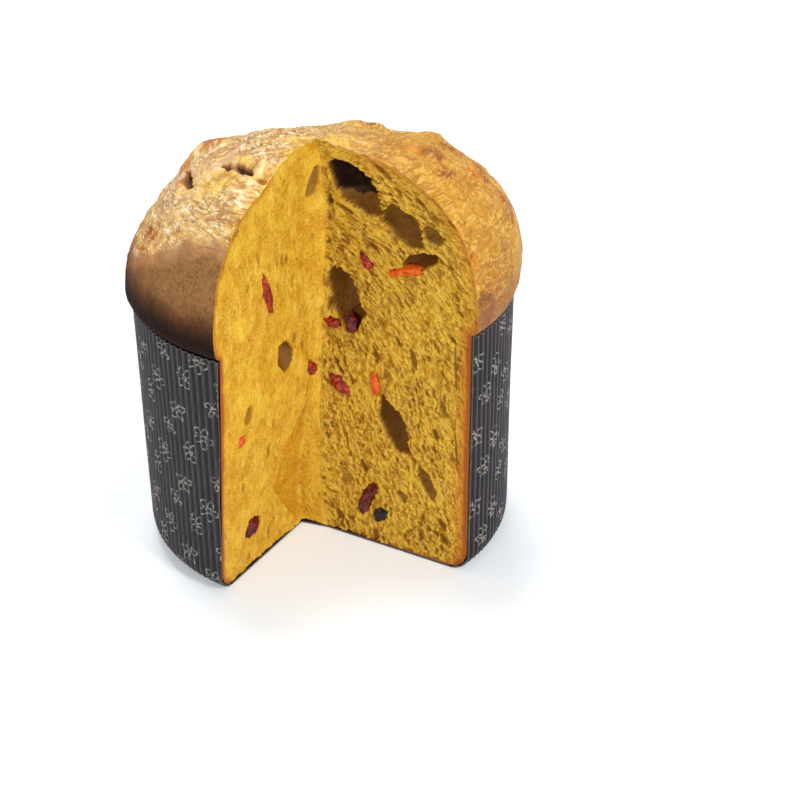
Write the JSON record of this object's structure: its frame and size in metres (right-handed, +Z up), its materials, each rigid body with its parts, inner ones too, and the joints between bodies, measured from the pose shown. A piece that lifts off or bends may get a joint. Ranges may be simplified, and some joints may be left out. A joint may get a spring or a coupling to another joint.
{
  "type": "panettone",
  "caption": "Tall domed panettone in a fluted paper case with a wedge cut out, showing golden crumb with candied fruit.",
  "frame": {"origin": "middle of the paper base where it stands on the table", "axes": "+Z up along the loaf's axis, +Y towards the uncut back, the missing wedge opens towards -Y"},
  "size_m": [0.1768, 0.1657, 0.1961],
  "materials": {
    "crumb_and_crust": "matt, porous",
    "printed_paper": "matt, fluted",
    "candied_cherry": "moist, slightly glossy",
    "candied_orange": "moist, slightly glossy",
    "raisin": "wrinkled, satin"
  },
  "bodies": {
    "root": {"bread": "crumb_and_crust", "paper_case": "printed_paper", "candied_cherry_1": "candied_cherry", "candied_cherry_2": "candied_cherry", "candied_cherry_3": "candied_cherry", "candied_cherry_4": "candied_cherry", "candied_cherry_5": "candied_cherry", "candied_cherry_6": "candied_cherry", "candied_cherry_7": "candied_cherry", "candied_cherry_8": "candied_cherry", "candied_orange_1": "candied_orange", "candied_orange_2": "candied_orange", "candied_orange_3": "candied_orange", "raisin_1": "raisin"}
  },
  "joints": []
}
